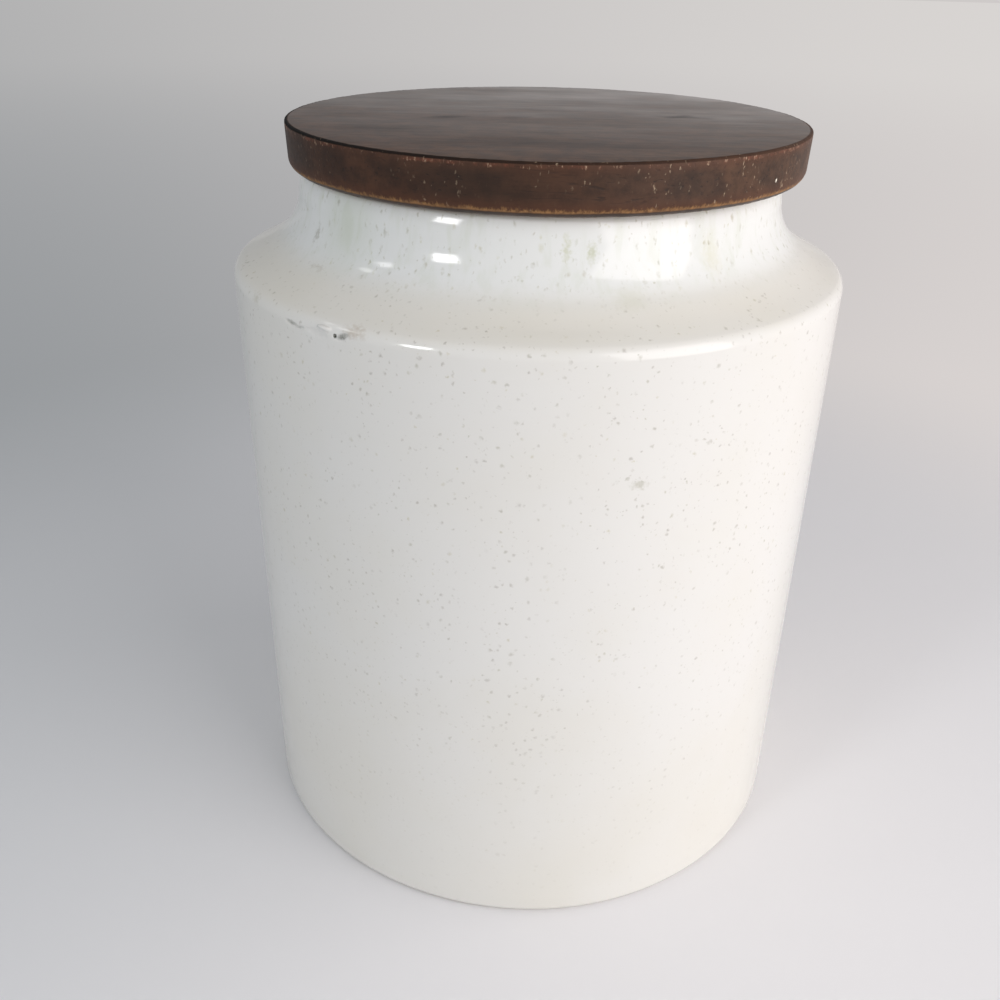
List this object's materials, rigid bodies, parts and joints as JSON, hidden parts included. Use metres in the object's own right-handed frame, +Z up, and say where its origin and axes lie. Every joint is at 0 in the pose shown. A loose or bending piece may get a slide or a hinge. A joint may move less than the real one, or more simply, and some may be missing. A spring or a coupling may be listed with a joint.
{
  "type": "lidded ceramic canister",
  "caption": "Round hollow glazed kitchen canister with straight wall, sloping shoulder and short neck, closed by a loose dark-stained wooden disc lid with a turned spigot.",
  "frame": {"origin": "centre of the foot, on the surface the canister stands on", "axes": "+Z up along the canister's axis, -Y towards the front, +X to the front's right"},
  "size_m": [0.178, 0.178, 0.22],
  "materials": {
    "glaze": "gloss",
    "lid_wood": "satin"
  },
  "bodies": {
    "root": {"canister": "glaze", "lid": "lid_wood"}
  },
  "joints": []
}
